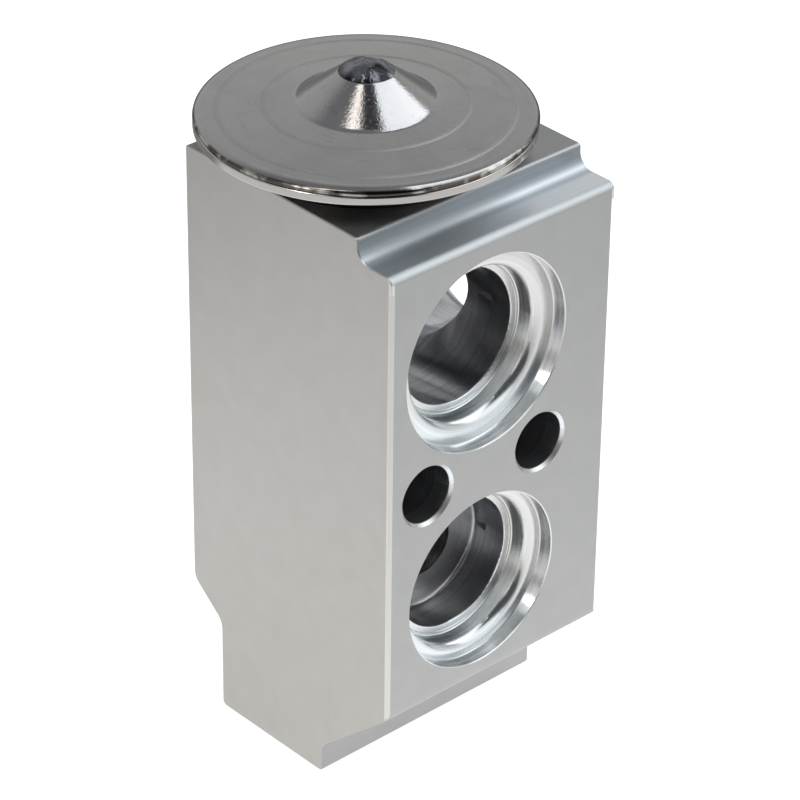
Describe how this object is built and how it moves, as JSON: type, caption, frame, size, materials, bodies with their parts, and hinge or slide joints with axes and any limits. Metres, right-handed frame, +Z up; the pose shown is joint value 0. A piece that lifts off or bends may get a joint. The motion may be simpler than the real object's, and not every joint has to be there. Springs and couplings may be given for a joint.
{
  "type": "thermostatic expansion valve",
  "caption": "Aluminium block expansion valve with round diaphragm head, suction and liquid ports on the front and side faces, through mounting holes and a narrow foot.",
  "frame": {"origin": "on the valve's upright axis, in the plane of the block's foot, at the entry of the hexagon key", "axes": "+Z up along the valve axis towards the diaphragm head, -Y out of the front face with the mounting holes, +X out of the side face with the other two ports"},
  "size_m": [0.0368, 0.0378, 0.0813],
  "materials": {
    "block": "sawn and satin outside, bright turned ports",
    "head": "satin with fine concentric marks and a bright rolled rim",
    "plug": "dark from welding",
    "spring_steel": "bright rolled or drawn",
    "inner_steel": "fine turned",
    "ball": "ground and polished",
    "rod": "fine turned",
    "brass": "turned",
    "seal": "smooth dark rubber"
  },
  "bodies": {
    "valve_body": {"valve_block": "block", "head_lower_cover": "head", "head_upper_cover": "head", "diaphragm": "spring_steel", "charge_plug": "plug", "head_seal_ring": "seal", "rod_seal_ring": "seal", "rod_seal_retainer": "inner_steel", "valve_seat": "inner_steel", "superheat_spring": "spring_steel"},
    "valve_train": {"diaphragm_stop": "inner_steel", "sensing_rod": "rod", "push_rod": "inner_steel", "valve_ball": "ball", "ball_carrier": "brass", "damping_clip": "spring_steel"},
    "adjuster_lift": {"adjuster_seal_ring": "seal"},
    "adjuster": {"adjusting_screw": "brass"}
  },
  "joints": [
    {"name": "valve_stroke", "type": "slide", "parent": "valve_body", "child": "valve_train", "axis": [0, 0, -1], "range_m": [0, 0.0008], "stiffness_N_per_m": 2000, "springref_m": -0.00006, "deforming": ["superheat_spring", "diaphragm"]},
    {"name": "adjuster_rise", "type": "slide", "parent": "valve_body", "child": "adjuster_lift", "axis": [0, 0, 1], "range_m": [-0.001, 0.001], "deforming": ["superheat_spring"]},
    {"name": "adjuster_turn", "type": "hinge", "parent": "adjuster_lift", "child": "adjuster", "pos_m": [0, 0, 0.006], "axis": [0, 0, 1], "range_deg": [-360, 360]}
  ],
  "couplings": [
    {"joint": "adjuster_rise", "follows": "adjuster_turn", "m_per_rad": 0.00015915}
  ]
}
